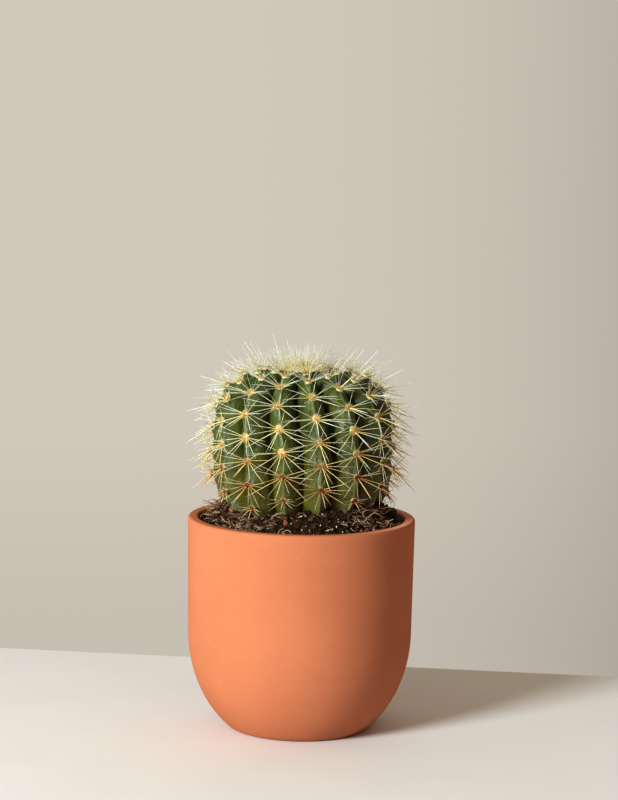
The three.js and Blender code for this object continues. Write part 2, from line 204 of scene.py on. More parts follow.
class Finish(Nodes):
    """A piece's material, in the piece's own coordinates."""

    def __init__(self, name, roughness, specular):
        self.material = bpy.data.materials.new(name)
        self.material.use_nodes = True
        super().__init__(self.material.node_tree, "Object")
        self.surface = self.tree.nodes["Principled BSDF"].inputs
        self.surface["Roughness"].default_value = roughness
        self.surface["Specular IOR Level"].default_value = specular

    def attribute(self, name):
        return self.node("ShaderNodeAttribute", attribute_name=name).outputs["Fac"]

    def patches(self, size_mm, low, high, detail=2.0, stretch=(1, 1, 1)):
        """Patches about size_mm across, drawn out where stretch is below 1."""
        inputs = {"Place": self.place, "Stretch": stretch, "Scale": 1 / (size_mm * MM),
                  "Detail": detail, "Low": low, "High": high}
        return self.node("ShaderNodeGroup", inputs, node_tree=patches).outputs["Mask"]

    def ramp(self, value, *stops):
        """A colour that passes through the stops, each a place from 0 to 1 and a colour."""
        node = self.node("ShaderNodeValToRGB", {"Fac": value})
        elements = node.color_ramp.elements
        elements[0].position, elements[0].color = stops[0][0], (*stops[0][1], 1)
        elements[1].position, elements[1].color = stops[-1][0], (*stops[-1][1], 1)
        for position, colour in stops[1:-1]:
            elements.new(position).color = (*colour, 1)
        return node.outputs["Color"]

    def lay(self, mask, strength, colour):
        """Lays a colour over the base colour where the mask is."""
        self.base = self.mix(self.times(mask, strength), self.base, colour)

    def made(self, *bumps):
        """The finished material. Each bump is a height from 0 to 1 and its depth in millimetres."""
        self.feed(self.base, self.surface["Base Color"])
        normal = self.surface["Normal"]
        for value, depth_mm in reversed(bumps):
            node = self.node("ShaderNodeBump", {"Distance": depth_mm * MM, "Height": value})
            self.feed(node.outputs["Normal"], normal)
            normal = node.inputs["Normal"]
        return self.material


# Table: a pale painted board that ends a little behind the plant, in front of the wall.
TABLE_HALF_WIDTH = 1.6
TABLE_NEAR = -2.4
TABLE_FAR = 0.150
TABLE_EDGE_SLOPE = -0.126
TABLE_THICK = 0.03


def make_table():
    board = bmesh.new()
    bmesh.ops.create_cube(board, size=2)
    for corner in board.verts:
        x = corner.co.x * TABLE_HALF_WIDTH
        y = TABLE_FAR + TABLE_EDGE_SLOPE * x if corner.co.y > 0 else TABLE_NEAR
        corner.co = (x, y, 0 if corner.co.z > 0 else -TABLE_THICK)
    mesh = bpy.data.meshes.new("table")
    board.to_mesh(mesh)
    board.free()
    paint = Finish("table_paint", 0.75, 0.25)
    paint.base = paint.mix(paint.patches(60, 0.3, 0.7), (0.762, 0.772, 0.825), (0.784, 0.794, 0.845))
    mesh.materials.append(paint.made())
    table = bpy.data.objects.new("table", mesh)
    bpy.context.collection.objects.link(table)


make_table()

# Pot: fired clay, spun with a straight wall, a flat rim, a rounded bowl and a flat foot with one
# drain hole. Its sizes are those of the solid, with finer curves and softer corners. The rim and
# the inner wall at the right are painted paler, a painted pool of light where the lamp reaches.
POT_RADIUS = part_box("pot")[1].x / MM
POT_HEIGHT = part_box("pot")[1].z / MM
POT_WALL = 6.0
POT_TAPER = 0.8
POT_EDGE_ROUND = 1.5
POT_FLOOR = 7.0
BOWL_TOP = 54.4
BOWL_HALF_WIDTH = 52.8
BOWL_HALF_HEIGHT = 65.2
FOOT_CHAMFER = 0.9
FOOT_RADIUS = 38.2
FOOT_EDGE = 0.6
DRAIN_RADIUS = 6.0
DRAIN_EDGES = (0.5, 0.8)
# The painted pool of light on the rim: how far in from the outer edge, how far below the rim and how far
# right it starts.
PAINTED_LIGHT_INSIDE = (0.6, 1.4)
PAINTED_LIGHT_BELOW_RIM = (14, 8)
PAINTED_LIGHT_FROM_MIDDLE = (0.022, 0.056)
POT_COLUMNS = 240
SHARP_FROM_DEGREES = 50
WEDGES = 10
SEAM_GAP = 0.001
BOWL_STEPS = 36
CORNER_STEPS = 6
WALL_STEPS = 12


def smoothstep(value, low, high):
    share = np.clip((value - low) / (high - low), 0, 1)
    return share * share * (3 - 2 * share)


def fit_piece(mesh, points, material, node, values=None):
    """Puts a mesh's points in place, given in millimetres, and fixes it to the part as one piece."""
    mesh.vertices.foreach_set("co", np.ravel(points) * MM)
    mesh.polygons.foreach_set("use_smooth", np.ones(len(mesh.polygons), bool))
    for key, numbers in (values or {}).items():
        attribute = mesh.attributes.new(key, "FLOAT", "POINT")
        numbers = np.broadcast_to(numbers, points.shape[:-1])
        attribute.data.foreach_set("value", np.ravel(numbers).astype(np.float32))
    mesh.materials.append(material)
    mesh.update()
    piece = bpy.data.objects.new(mesh.name, mesh)
    bpy.context.collection.objects.link(piece)
    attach(piece, "root")
    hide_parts(node)
    return piece


def fit_spun(name, outline, grid, material, node, values, closed=False):
    """Spins a mesh from an outline of radius and height, and fits it on a grid of as many rows."""
    columns = grid.shape[1]
    shape = bmesh.new()
    row = shape.verts.layers.float.new("row")
    corners = [shape.verts.new((0, -radius, z)) for radius, z in outline]
    for index, corner in enumerate(corners):
        corner[row] = index
    ends = corners[1:] + corners[:1] * closed
    edges = [shape.edges.new(pair) for pair in zip(corners, ends)]
    wedge = math.tau / WEDGES
    upright = {"cent": (0, 0, 0), "axis": (0, 0, 1)}
    bmesh.ops.spin(shape, geom=corners + edges, angle=wedge, steps=columns // WEDGES, **upright)
    bmesh.ops.spin(shape, geom=[*shape.verts, *shape.edges, *shape.faces], angle=math.tau - wedge,
                   steps=WEDGES - 1, use_duplicate=True, **upright)
    bmesh.ops.remove_doubles(shape, verts=shape.verts, dist=SEAM_GAP)
    bmesh.ops.holes_fill(shape, edges=shape.edges, sides=0)
    bmesh.ops.recalc_face_normals(shape, faces=shape.faces)
    rows = np.round([vertex[row] for vertex in shape.verts]).astype(int)
    angle = np.array([math.atan2(vertex.co.x, -vertex.co.y) for vertex in shape.verts])
    turned = np.mod(np.round(angle / (math.tau / columns)), columns).astype(int)
    shape.verts.layers.float.remove(row)
    mesh = bpy.data.meshes.new(name)
    shape.to_mesh(mesh)
    shape.free()
    values = {key: np.broadcast_to(given, grid.shape[:2])[rows, turned] for key, given in values.items()}
    return fit_piece(mesh, grid[rows, turned], material, node, values)


def bowl_points(lowest, inset, floor):
    centre = POT_RADIUS - POT_TAPER - BOWL_HALF_WIDTH
    half_width = BOWL_HALF_WIDTH - inset
    half_height = BOWL_HALF_HEIGHT - floor
    angle = np.linspace(math.asin((BOWL_TOP - lowest) / half_height), 0, BOWL_STEPS + 1)
    return np.column_stack([centre + half_width * np.cos(angle), BOWL_TOP - half_height * np.sin(angle)])


def corner_points(centre_radius, centre_z, start_degrees):
    angle = np.radians(np.linspace(start_degrees, start_degrees + 90, CORNER_STEPS + 1))
    return np.column_stack([centre_radius + POT_EDGE_ROUND * np.cos(angle),
                            centre_z + POT_EDGE_ROUND * np.sin(angle)])


def straight(start, end, steps):
    """Points between two ends, without the ends."""
    share = np.linspace(0, 1, steps + 1)[1:-1, None]
    return np.asarray(start) * (1 - share) + np.asarray(end) * share


def pot_outline():
    small, large = DRAIN_EDGES
    rim_z = POT_HEIGHT - POT_EDGE_ROUND
    outer_bowl = bowl_points(FOOT_CHAMFER, 0, 0)
    outer_corner = corner_points(POT_RADIUS - POT_EDGE_ROUND, rim_z, 0)
    inner_corner = corner_points(POT_RADIUS - POT_WALL + POT_EDGE_ROUND, rim_z, 90)
    inner_bowl = bowl_points(POT_FLOOR, POT_WALL, POT_FLOOR)[::-1]
    return np.concatenate([
        [(DRAIN_RADIUS + small, 0), (FOOT_RADIUS - FOOT_EDGE, 0), (FOOT_RADIUS, 0.1)],
        outer_bowl,
        straight(outer_bowl[-1], outer_corner[0], WALL_STEPS),
        outer_corner,
        straight(outer_corner[-1], inner_corner[0], 4),
        inner_corner,
        straight(inner_corner[-1], inner_bowl[0], WALL_STEPS),
        inner_bowl,
        [(DRAIN_RADIUS + large, POT_FLOOR), (DRAIN_RADIUS, POT_FLOOR - large), (DRAIN_RADIUS, small)],
    ])


def terracotta():
    clay = Finish("terracotta", 0.9, 0.04)
    clay.base = clay.mix(clay.patches(38, 0.35, 0.65, 3), (0.474, 0.187, 0.100), (0.502, 0.202, 0.111))
    grain = clay.patches(0.7, 0.3, 0.7, 3)
    turning = clay.patches(8, 0.35, 0.65, 2, (0.12, 0.12, 1))
    specks = clay.patches(1.1, 0.70, 0.75, 1)
    dust = clay.patches(2.0, 0.74, 0.80, 1, (1, 1, 0.8))
    # Painted light: a paler pink laid over the rim top and inner wall at the right, where the lamp's
    # light falls over the rim.
    painted_light = clay.times(clay.attribute("lip"), clay.range(clay.axis("X"), *PAINTED_LIGHT_FROM_MIDDLE))
    clay.lay(grain, 0.16, (0.60, 0.257, 0.155))
    clay.lay(turning, 0.10, (0.43, 0.143, 0.073))
    clay.lay(specks, 0.30, (0.34, 0.106, 0.060))
    clay.lay(dust, 0.20, (0.66, 0.36, 0.24))
    clay.lay(painted_light, 0.9, (0.86, 0.40, 0.30))
    return clay.made((clay.patches(0.55, 0, 1, 3), 0.035), (turning, 0.04), (specks, -0.03))


def make_pot():
    outline = pot_outline()
    radius, z = outline.T[..., None]
    inner = smoothstep(POT_RADIUS - radius, *PAINTED_LIGHT_INSIDE)
    high = smoothstep(z, *(POT_HEIGHT - depth for depth in PAINTED_LIGHT_BELOW_RIM))
    grid = around(radius, np.arange(POT_COLUMNS) * (math.tau / POT_COLUMNS), z)
    lip = {"lip": inner * high}
    pot = fit_spun("fired_pot", outline, grid, terracotta(), "pot", lip, closed=True)
    pot.data.set_sharp_from_angle(angle=math.radians(SHARP_FROM_DEGREES))


make_pot()

# Cactus stem: a squat barrel with fifteen ribs that lean a little above its middle. Each rib swells
# under its areoles, has a thin pale ridge along its crest and narrows to a wedge at the soil.
RIBS = 15
FIRST_RIB_DEGREES = -11.8
RIB_TWIST = -0.165
CREST_RADIUS = 49.0
CREST_HALF_HEIGHT = 45.0
BARREL_MIDDLE = POT_HEIGHT + 37.2
ROUNDNESS_ABOVE = 3.4
ROUNDNESS_BELOW = 3.0
OUTLINE_DEGREES = (-70, 86)
OUTLINE_SAMPLES = 1600
RIB_DEPTH = 9.0
RIB_FADE = (10, 34)
RIB_ROUND = 1.9
RIB_NARROW = 0.85
RIB_ROUNDS_OUT = (POT_HEIGHT + 3, POT_HEIGHT + 30)
CREASE_DEPTH = 2.2
CREASE_FROM = 0.8
RIDGE_HEIGHT = 0.5
RIDGE_HALF_WIDTH = 0.7
TUBERCLE_RISE = 1.4
TUBERCLE_LENGTH = 4.2
NOTCH_DEPTH = 2.6
NOTCH_START = 0.2
NOTCH_CLOSED = (0.0, 0.62)
NOTCH_OPENS = (0.9, 1.0)
SKIN_ROUGHNESS = 0.45
SKIN_ROUGHNESS_SIZE = 9.0
SKIN_ROWS = 165
COLUMNS_PER_RIB = 32
ROOT_RADIUS = 11
ROOT_TIP_RADIUS = 6
ROOT_LENGTH = 26
ROOT_NECK = 2

# Areoles follow a spiral: each next one is thirteen ribs further round. A rib's number times
# SPIRAL_BACK, modulo RIBS, tells which areole of each turn it carries.
SPIRAL_STEP = 13
SPIRAL_BACK = pow(SPIRAL_STEP, -1, RIBS)
AREOLE_START = -20.7
AREOLE_SPACING = 13.4
AREOLE_CROWDING = 0.19
YOUNG_TURNS = (3.5, 6.2)

RIB_TURN = math.tau / RIBS
FIRST_RIB = math.radians(FIRST_RIB_DEGREES)


def unit(vectors):
    return vectors / np.linalg.norm(vectors, axis=-1, keepdims=True)


def rough(points, size, octaves=3):
    """Fractal noise from about -1 to 1 at each point, with features of the given size."""
    flat = np.reshape(points, (-1, 3)) / size
    values = [noise.fractal(Vector(place), 1.0, 2.0, octaves) for place in flat]
    return np.reshape(values, np.shape(points)[:-1])


def crest_outline():
    angle = np.radians(np.linspace(*OUTLINE_DEGREES, OUTLINE_SAMPLES + 1))
    power = np.where(angle < 0, 2 / ROUNDNESS_BELOW, 2 / ROUNDNESS_ABOVE)
    radius = CREST_RADIUS * np.cos(angle) ** power
    z = BARREL_MIDDLE + CREST_HALF_HEIGHT * np.sign(angle) * np.abs(np.sin(angle)) ** power
    along = np.concatenate([[0], np.cumsum(np.hypot(np.diff(radius), np.diff(z)))])
    even = np.linspace(0, along[-1], OUTLINE_SAMPLES // 4)
    return even, np.interp(even, along, radius), np.interp(even, along, z)


crest_along, crest_radius, crest_z = crest_outline()
crest_slope_radius = np.gradient(crest_radius, crest_along)
crest_slope_z = np.gradient(crest_z, crest_along)
crest_length = crest_along[-1]
equator = np.interp(BARREL_MIDDLE, crest_z, crest_along)


def crest_at(along):
    """Radius, height and outward direction of the crests' outline at a distance along it."""
    known = (crest_radius, crest_z, crest_slope_radius, crest_slope_z)
    radius, z, slope_radius, slope_z = (np.interp(along, crest_along, values) for values in known)
    length = np.hypot(slope_radius, slope_z)
    return radius, z, slope_z / length, -slope_radius / length


def rib_lean(along):
    """How far round a crest has leaned by a distance along the outline."""
    return np.radians(RIB_TWIST * np.maximum(0, along - equator))


def areole_along(turn):
    return equator + AREOLE_START + AREOLE_SPACING * turn - AREOLE_CROWDING * turn ** 2


def turn_at(along):
    """Which turn of the spiral passes a distance along the outline: areole_along the other way."""
    inside = AREOLE_SPACING ** 2 - 4 * AREOLE_CROWDING * (along - equator - AREOLE_START)
    return (AREOLE_SPACING - np.sqrt(np.maximum(inside, 0))) / (2 * AREOLE_CROWDING)


def youth_at(turn):
    return smoothstep(turn, *YOUNG_TURNS)


def skin(along, angle, grow=0.0):
    """Points of the ribbed skin, with the values that its finish is painted by."""
    radius, z, out_radius, out_z = crest_at(along)
    phase = (angle - FIRST_RIB - rib_lean(along)) / RIB_TURN
    nearest = np.round(phase)
    rib = np.mod(nearest, RIBS)
    groove = 2 * np.abs(phase - nearest)
    across = groove / 2 * RIB_TURN * radius
    turn = turn_at(along)
    young = youth_at(turn)
    above = turn - np.mod(rib * SPIRAL_BACK, RIBS) / RIBS
    above = above - np.round(above)
    near = np.exp(-(above * (AREOLE_SPACING - 2 * AREOLE_CROWDING * turn) / TUBERCLE_LENGTH) ** 2)
    climb = np.mod(above - NOTCH_START, 1.0)
    notch = 1 - smoothstep(climb, *NOTCH_CLOSED) * (1 - smoothstep(climb, *NOTCH_OPENS))
    depth = RIB_DEPTH * smoothstep(radius, *RIB_FADE)
    roundness = smoothstep(z, *RIB_ROUNDS_OUT)
    power = RIB_NARROW + (RIB_ROUND - RIB_NARROW) * roundness + 0.5 * near * roundness
    crease = CREASE_DEPTH * smoothstep(groove, CREASE_FROM, 1.0) * depth / RIB_DEPTH
    sink = np.maximum(0, depth * groove ** power + crease - grow)
    notched = (0.1 + 0.9 * young) * NOTCH_DEPTH * notch * (1 - groove) ** 0.7
    ridge = np.exp(-(across / RIDGE_HALF_WIDTH) ** 2)
    trough = np.exp(-((across - 2.4 * RIDGE_HALF_WIDTH) / RIDGE_HALF_WIDTH) ** 2)
    lined = RIDGE_HEIGHT * (ridge - 0.5 * trough) * (1 - 0.6 * young)
    bulge = roundness * (near * (1 - groove) ** 1.3 * TUBERCLE_RISE - notched + lined)
    upper = z >= BARREL_MIDDLE
    inwards = np.where(upper, sink * out_radius, sink) - (bulge + grow) * out_radius
    down = np.where(upper, sink * out_z, 0) - (bulge + grow) * out_z
    points = around(radius - inwards, angle, z - down)
    values = {"groove": groove, "crest": ridge * (1 - 0.4 * near), "young": young + 0 * angle}
    return points, values


def root_outline(grow):
    top = crest_z[0] - ROOT_NECK
    tip, side = ROOT_TIP_RADIUS + grow, ROOT_RADIUS + grow
    return np.array([(tip, top - ROOT_LENGTH - grow), (side, top - ROOT_LENGTH / 2), (side, top - grow)])


def cactus_skin():
    flesh = Finish("cactus_skin", 0.42, 0.28)
    groove, crest, young = (flesh.attribute(name) for name in ("groove", "crest", "young"))
    z = flesh.axis("Z")

    def above_rim(start, end, *shares):
        """How far a place is on the way between two heights above the pot's rim."""
        return flesh.range(z, (POT_HEIGHT + start) * MM, (POT_HEIGHT + end) * MM, *shares)

    clouds = flesh.patches(11, 0.35, 0.65, 4)
    flesh.base = flesh.mix(clouds, (0.036, 0.052, 0.006), (0.088, 0.110, 0.014))
    low = above_rim(42, 12)
    flesh.lay(low, 0.65, (0.104, 0.086, 0.012))
    foot = flesh.times(above_rim(22, 7), flesh.range(groove, 0.75, 0.3))
    flesh.lay(foot, 0.5, (0.150, 0.165, 0.042))
    # Painted shade and fill in the grooves: a darker olive high up, where the grooves lie in shade, and
    # a lighter olive low down to lift their shade.
    painted_groove_shade_and_fill = flesh.mix(low, (0.052, 0.050, 0.004), (0.150, 0.132, 0.010))
    flesh.lay(flesh.range(groove, 0.35, 0.95), 0.75, painted_groove_shade_and_fill)
    # Waxy bloom on the upper flanks, made pale and strong to stand in for the lamp's soft highlights
    # too: partly real bloom, partly painted highlight.
    bloom_and_highlight = flesh.times(flesh.patches(6.5, 0.46, 0.72, 5, (1, 1, 0.6)), flesh.range(groove, 0.8, 0.2))
    flesh.lay(flesh.times(bloom_and_highlight, above_rim(16, 50, 0.75, 1.0)), 0.62, (0.200, 0.225, 0.145))
    lines = flesh.times(crest, flesh.patches(1.6, 0.25, 0.6, 3, (1, 1, 0.35)))
    flesh.lay(lines, 0.55, (0.27, 0.34, 0.20))
    flesh.lay(young, 0.30, (0.060, 0.120, 0.036))
    scars = flesh.times(flesh.patches(4.0, 0.62, 0.72, 5), above_rim(62, 12))
    flesh.lay(scars, 0.70, (0.20, 0.150, 0.100))
    dust = flesh.patches(1.1, 0.70, 0.76, 2)
    flesh.lay(dust, 0.55, (0.44, 0.50, 0.42))
    gloss = flesh.math("ADD", flesh.patches(4.0, 0.3, 0.7, 4), flesh.times(scars, 0.8))
    flesh.feed(flesh.range(gloss, 0, 1, 0.30, 0.58), flesh.surface["Roughness"])
    dimples = flesh.patches(3.0, 0, 1, 3, (1, 1, 0.5))
    return flesh.made((dimples, 0.9), (flesh.patches(0.6, 0, 1, 2), 0.10), (scars, 0.12))


def make_stem():
    columns = RIBS * COLUMNS_PER_RIB
    along = np.linspace(0, crest_length, SKIN_ROWS)[:, None]
    angle = FIRST_RIB + np.arange(columns)[None] * (math.tau / columns) + rib_lean(along)
    points, values = skin(along, angle)
    uneven = SKIN_ROUGHNESS * rough(points, SKIN_ROUGHNESS_SIZE)
    points = points + unit(points - [0, 0, BARREL_MIDDLE]) * uneven[..., None]
    root = root_outline(0)
    below = around(root[:, :1], angle[:1], root[:, 1:])
    for key, at_root in (("groove", 1.0), ("crest", 0.0), ("young", 0.0)):
        values[key] = np.concatenate([np.full(below.shape[:2], at_root), values[key]])
    outline = np.concatenate([root, np.column_stack(crest_at(along[:, 0])[:2])])
    grid = np.concatenate([below, points])
    fit_spun("cactus_stem", outline, grid, cactus_skin(), "cactus", values)


make_stem()

# Soil: dark peat that mounds up against the stem and drops to the pot's wall, with a hole that
# the stem stands in. Crumbs of peat lie all over it. Each clod is a place, a rise and a size, and
# those that sink are hollows. Each kind of crumb is a number, two radii and a ball's detail.
SOIL_AT_WALL = -3.8
SOIL_AT_STEM = 5.7
SOIL_LEAN = 2.5
SOIL_LEAN_DEGREES = 60
SOIL_RELIEF = 0.6
MOUND_INNER = 43
GAP = 0.4
SOIL_RINGS = 44
SOIL_COLUMNS = 480
SOIL_ANGLES = np.arange(SOIL_COLUMNS) * (math.tau / SOIL_COLUMNS)
SOIL_SIDE_STEP = 6
HOLE_RINGS = 8
EDGE_SEARCHES = 24
PEAT_ROUGHNESS = 1.2
PEAT_ROUGHNESS_SIZE = 2.6
LUMPS_FROM_WALL = 0.3
CLODS = ((-46.5, -5, 5.5, 4.0), (50, 14, -4.5, 9.5), (47, -27, 1.0, 3.5), (-27, -40, -3.0, 12.0))
CRUMBS = (("fine_crumbs", 4600, 0.25, 0.75, 1), ("coarse_crumbs", 640, 0.7, 1.8, 2))


def soil_height(x, y):
    radius = np.hypot(x, y)
    angle = np.arctan2(x, -y)
    at_stem = SOIL_AT_STEM + SOIL_LEAN * np.cos(angle - math.radians(SOIL_LEAN_DEGREES))
    drop = smoothstep(radius, MOUND_INNER, POT_RADIUS - POT_WALL)
    relief = SOIL_RELIEF * np.sin(x * 0.61 + 1.3) * np.sin(y * 0.53 - 0.4)
    clods = sum(rise * np.exp(-((x - clod_x) ** 2 + (y - clod_y) ** 2) / size ** 2)
                for clod_x, clod_y, rise, size in CLODS)
    return POT_HEIGHT + at_stem + (SOIL_AT_WALL - at_stem) * drop + relief + clods


def stem_edge(angle):
    """How far along the outline the stem meets the soil, and its radius there, at each angle."""
    low = np.zeros_like(angle)
    high = np.full_like(angle, equator)
    for _ in range(EDGE_SEARCHES):
        middle = (low + high) / 2
        points, _ = skin(middle, angle, GAP)
        under = points[..., 2] < soil_height(points[..., 0], points[..., 1])
        low = np.where(under, middle, low)
        high = np.where(under, high, middle)
    points, _ = skin(low, angle, GAP)
    return low, np.hypot(points[..., 0], points[..., 1])


def potting_mix():
    peat = Finish("potting_mix", 0.92, 0.2)
    base = peat.mix(peat.patches(2.2, 0.35, 0.68, 4), (0.006, 0.0020, 0.0007), (0.060, 0.028, 0.012))
    peat.base = peat.mix(peat.range(peat.attribute("shade"), 0.80, 1.0), base, (0.19, 0.100, 0.055))
    return peat.made((peat.patches(0.8, 0, 1, 4), 0.4))


def make_soil(material):
    angle = SOIL_ANGLES
    wall = POT_RADIUS - POT_WALL - GAP
    side = bowl_points(POT_FLOOR, POT_WALL, POT_FLOOR)[::SOIL_SIDE_STEP]
    rings = [around(radius - GAP, angle, max(z, POT_FLOOR + GAP)) for radius, z in side]
    edge_along, edge_radius = stem_edge(angle)
    for share in np.linspace(0, 1, SOIL_RINGS):
        ring = around(wall + (edge_radius - wall) * share, angle, 0.0)
        evenness = min(1, 8 * share * (1 - share))
        lumps = PEAT_ROUGHNESS * evenness * rough(ring, PEAT_ROUGHNESS_SIZE, 4)
        ring[:, 2] = soil_height(ring[:, 0], ring[:, 1]) + lumps
        rings.append(ring)
    for share in np.linspace(1, 0, HOLE_RINGS)[1:]:
        rings.append(skin(edge_along * share, angle, GAP)[0])
    rings.extend(around(radius, angle, z) for radius, z in root_outline(GAP)[::-1])
    grid = np.stack(rings)
    outline = np.column_stack([np.hypot(grid[:, 0, 0], grid[:, 0, 1]), grid[:, 0, 2]])
    fit_spun("soil_bed", outline, grid, material, "soil", {"shade": 0.0})
    return edge_radius


peat = potting_mix()
stem_radius = make_soil(peat)


def soil_places(count, from_wall=0.8, from_stem=0.0):
    """Random places on the soil between the stem and the wall."""
    angle = draw.uniform(0, math.tau, count)
    inner = np.interp(angle, SOIL_ANGLES, stem_radius, period=math.tau) + from_stem
    outer = POT_RADIUS - POT_WALL - from_wall
    place = around(inner + (outer - inner) * draw.uniform(0, 1, count), angle, 0.0)
    place[:, 2] = soil_height(place[:, 0], place[:, 1])
    return place


def keep_inside(places, from_wall):
    """Moves places in towards the axis until they are clear of the pot's wall."""
    radius = np.hypot(places[..., 0], places[..., 1])
    places[..., :2] *= (np.minimum(radius, POT_RADIUS - POT_WALL - from_wall) / radius)[..., None]


def small_shape(shape):
    """The points and faces of a small shape that is to be repeated. The shape is used up."""
    shape.verts.index_update()
    points = np.array([vertex.co[:] for vertex in shape.verts])
    faces = [[vertex.index for vertex in face.verts] for face in shape.faces]
    shape.free()
    return points, faces


def fit_copies(name, faces, points, material, node, values=None):
    """Fits many copies of a small shape as one piece. points is (count, points of the shape, 3)."""
    count, size = points.shape[:2]
    mesh = bpy.data.meshes.new(name)
    starts = range(0, count * size, size)
    copies = [[index + start for index in face] for start in starts for face in faces]
    mesh.from_pydata(points.reshape(-1, 3).tolist(), [], copies)
    return fit_piece(mesh, points, material, node, values)


def make_lumps(name, centres, sizes, detail, uneven, material, shade=0.0):
    """Irregular lumps: each ball is stretched to its three sizes, dented and turned."""
    ball = bmesh.new()
    bmesh.ops.create_icosphere(ball, subdivisions=detail, radius=1.0)
    points, faces = small_shape(ball)
    count = len(centres)
    dents = 1 + uneven * draw.uniform(-1, 1, (count, len(points), 1))
    turns = np.array([Euler(angles).to_matrix() for angles in draw.uniform(0, math.tau, (count, 3))])
    stretched = points[None] * dents * sizes[:, None, :]
    placed = np.einsum("nij,npj->npi", turns, stretched) + centres[:, None, :]
    keep_inside(placed, LUMPS_FROM_WALL)
    return fit_copies(name, faces, placed, material, "soil", {"shade": np.reshape(shade, (-1, 1))})


def make_crumbs():
    for name, count, smallest, largest, detail in CRUMBS:
        place = soil_places(count, from_wall=largest * 0.6)
        size = draw.uniform(smallest, largest, (count, 1)) * draw.uniform(0.6, 1.3, (count, 3))
        place[:, 2] += size.mean(axis=1) * draw.uniform(-0.2, 0.7, count)
        make_lumps(name, place, size, detail, 0.35, peat, draw.uniform(0, 1, count))


make_crumbs()

# Fibres: thin roots and coir threads, curled loosely over the soil. Three tufts, each a place, a
# spread and a number, lie on the clod at the left and at both sides of the front.
FIBRES = 1350
FIBRE_TUFTS = ((-45, -8, 2.6, 190), (-31, -39, 7.0, 280), (38, -33, 6.5, 320))
FIBRE_LENGTHS = (2.5, 11)
FIBRE_RADII = (0.07, 0.20)
FIBRE_SIDES = 4
FIBRE_CURL = 0.42
FIBRE_RISE = 0.28
FIBRE_TAPER = np.array([0.6, 0.9, 1, 1, 1, 1, 0.95, 0.8, 0.4])


def strands(name, paths, radii, sides, material, node, values):
    """Closed threads along many paths at once. paths is (count, rings, 3), radii (count, rings)."""
    count, rings, _ = paths.shape
    thread = bmesh.new()
    bmesh.ops.create_cone(thread, cap_ends=True, segments=sides, radius1=1, radius2=1, depth=rings - 1)
    upright = [edge for edge in thread.edges if abs(edge.verts[0].co.z - edge.verts[1].co.z) > 0.5]
    bmesh.ops.subdivide_edges(thread, edges=upright, cuts=rings - 2)
    shape, faces = small_shape(thread)
    ring = np.round(shape[:, 2] + (rings - 1) / 2).astype(int)
    along = unit(np.gradient(paths, axis=1))
    chord = unit(paths[:, -1] - paths[:, 0])
    helper = np.where(np.abs(chord[:, 2:3]) > 0.8, [[1.0, 0.0, 0.0]], [[0.0, 0.0, 1.0]])
    first = unit(np.cross(along, helper[:, None, :]))
    second = np.cross(along, first)
    offset = first[:, ring] * shape[None, :, 0:1] + second[:, ring] * shape[None, :, 1:2]
    points = paths[:, ring] + offset * radii[:, ring, None]
    values = {key: np.broadcast_to(numbers, (count, rings))[:, ring] for key, numbers in values.items()}
    fit_copies(name, faces, points, material, node, values)


def fibre():
    thread = Finish("fibre", 0.85, 0.2)
    shade = thread.attribute("shade")
    thread.base = thread.ramp(shade, (0.0, (0.035, 0.016, 0.010)), (0.4, (0.24, 0.140, 0.090)),
                              (0.75, (0.54, 0.37, 0.25)), (1.0, (0.82, 0.68, 0.52)))
    return thread.made((thread.patches(0.8, 0, 1), 0.05))


def make_fibres():
    starts = soil_places(FIBRES, from_wall=1.0)
    used = 0
    for x, y, spread, count in FIBRE_TUFTS:
        starts[used:used + count, :2] = np.array((x, y)) + draw.normal(0, spread, (count, 2))
        used += count
    keep_inside(starts, 1)
    starts[:, 2] = soil_height(starts[:, 0], starts[:, 1]) + draw.uniform(0.1, 1.2, FIBRES)
    rings = len(FIBRE_TAPER)
    step = draw.uniform(*FIBRE_LENGTHS, FIBRES) / (rings - 1)
    heading = draw.uniform(0, math.tau, FIBRES)
    pitch = draw.normal(0, FIBRE_RISE, FIBRES)
    places = [starts]
    for _ in range(rings - 1):
        heading = heading + draw.normal(0, FIBRE_CURL, FIBRES)
        pitch = pitch * 0.75 + draw.normal(0, FIBRE_RISE, FIBRES)
        level = np.cos(pitch)
        move = np.column_stack([np.cos(heading) * level, np.sin(heading) * level, np.sin(pitch)])
        places.append(places[-1] + move * step[:, None])
    paths = np.stack(places, axis=1)
    keep_inside(paths, 0.9)
    paths[..., 2] = np.maximum(paths[..., 2], soil_height(paths[..., 0], paths[..., 1]) - 0.2)
    radii = draw.uniform(*FIBRE_RADII, (FIBRES, 1)) * FIBRE_TAPER
    shade = draw.uniform(0, 1, (FIBRES, 1))
    strands("soil_fibres", paths, radii, FIBRE_SIDES, fibre(), "soil", {"shade": shade})


make_fibres()

# Perlite: small white volcanic beads. Half of them lie at the front, a little to the right, and
# the others lie anywhere on the soil.
PERLITE = 70
PERLITE_FRONT = 0.5
PERLITE_FRONT_ANGLE = 0.26
PERLITE_FRONT_SPREAD = 0.25
PERLITE_RADII = (0.22, 0.60)


def perlite():
    bead = Finish("perlite", 0.8, 0.3)
    bead.base = bead.mix(bead.patches(0.5, 0.4, 0.6), (0.44, 0.40, 0.35), (0.68, 0.66, 0.61))
    return bead.made((bead.patches(0.35, 0, 1), 0.15))


